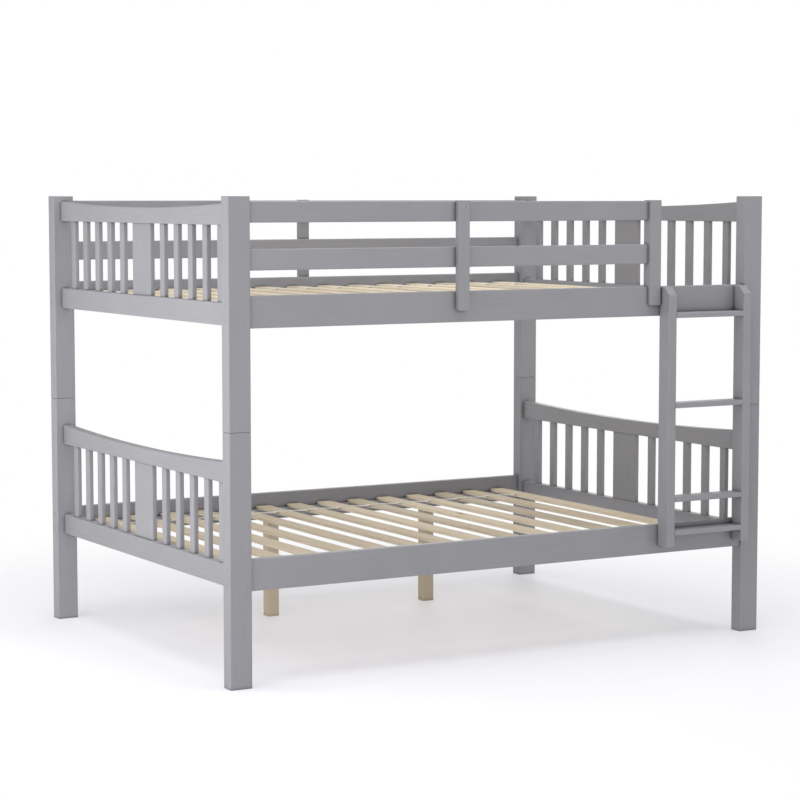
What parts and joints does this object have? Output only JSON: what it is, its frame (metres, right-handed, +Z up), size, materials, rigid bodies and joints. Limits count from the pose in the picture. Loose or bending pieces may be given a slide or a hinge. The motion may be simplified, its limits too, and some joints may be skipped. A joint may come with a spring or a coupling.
{
  "type": "bunk bed with ladder",
  "caption": "Painted wooden bunk bed with slatted decks, slatted end panels, guard rails around the upper bunk, and a ladder fixed to its front.",
  "frame": {"origin": "on the floor, below the centre of the whole bed with its ladder", "axes": "+X along the bed towards the ladder end, -Y the front, +Z up"},
  "size_m": [2.02, 1.5062, 1.497],
  "materials": {
    "grey_paint": "satin paint over wood",
    "pine": "bare planed pine",
    "dowel_wood": "bare beech",
    "webbing": "woven tape",
    "steel": "zinc plated",
    "grey_cap": "matte"
  },
  "bodies": {
    "lower_bunk": {"left_centre_leg": "pine", "lower_back_left_post": "grey_paint", "lower_back_rail": "grey_paint", "lower_back_right_post": "grey_paint", "lower_barrel_nuts": "steel", "lower_bolt_caps": "grey_cap", "lower_cleats": "grey_paint", "lower_dowels": "dowel_wood", "lower_front_left_post": "grey_paint", "lower_front_rail": "grey_paint", "lower_front_right_post": "grey_paint", "lower_left_panel_base_rail": "grey_paint", "lower_left_panel_spindles": "grey_paint", "lower_left_panel_top_rail": "grey_paint", "lower_rail_bolts": "steel", "lower_right_panel_base_rail": "grey_paint", "lower_right_panel_spindles": "grey_paint", "lower_right_panel_top_rail": "grey_paint", "lower_screws": "steel", "lower_slat_tapes": "webbing", "lower_slats": "pine", "post_pins": "steel", "right_centre_leg": "pine"},
    "upper_bunk": {"back_guard_centre_support": "grey_paint", "back_guard_low_board": "grey_paint", "back_guard_top_board": "grey_paint", "front_guard_centre_support": "grey_paint", "front_guard_end_support": "grey_paint", "front_guard_low_board": "grey_paint", "front_guard_top_board": "grey_paint", "ladder_bolts": "steel", "upper_back_left_post": "grey_paint", "upper_back_rail": "grey_paint", "upper_back_right_post": "grey_paint", "upper_barrel_nuts": "steel", "upper_bolt_caps": "grey_cap", "upper_cleats": "grey_paint", "upper_dowels": "dowel_wood", "upper_front_left_post": "grey_paint", "upper_front_rail": "grey_paint", "upper_front_right_post": "grey_paint", "upper_left_panel_base_rail": "grey_paint", "upper_left_panel_spindles": "grey_paint", "upper_left_panel_top_rail": "grey_paint", "upper_rail_bolts": "steel", "upper_right_panel_base_rail": "grey_paint", "upper_right_panel_spindles": "grey_paint", "upper_right_panel_top_rail": "grey_paint", "upper_screws": "steel", "upper_slat_tapes": "webbing", "upper_slats": "pine"},
    "ladder": {"ladder_first_tread": "grey_paint", "ladder_fourth_tread": "grey_paint", "ladder_inserts": "steel", "ladder_left_rail": "grey_paint", "ladder_right_rail": "grey_paint", "ladder_second_tread": "grey_paint", "ladder_third_tread": "grey_paint", "tread_dowels": "dowel_wood"}
  },
  "joints": [
    {"name": "upper_bunk_lift", "type": "slide", "parent": "lower_bunk", "child": "upper_bunk", "axis": [0, 0, 1], "range_m": [0, 0.1]},
    {"name": "ladder_pull", "type": "slide", "parent": "upper_bunk", "child": "ladder", "axis": [0, -1, 0], "range_m": [0, 0.1]}
  ]
}
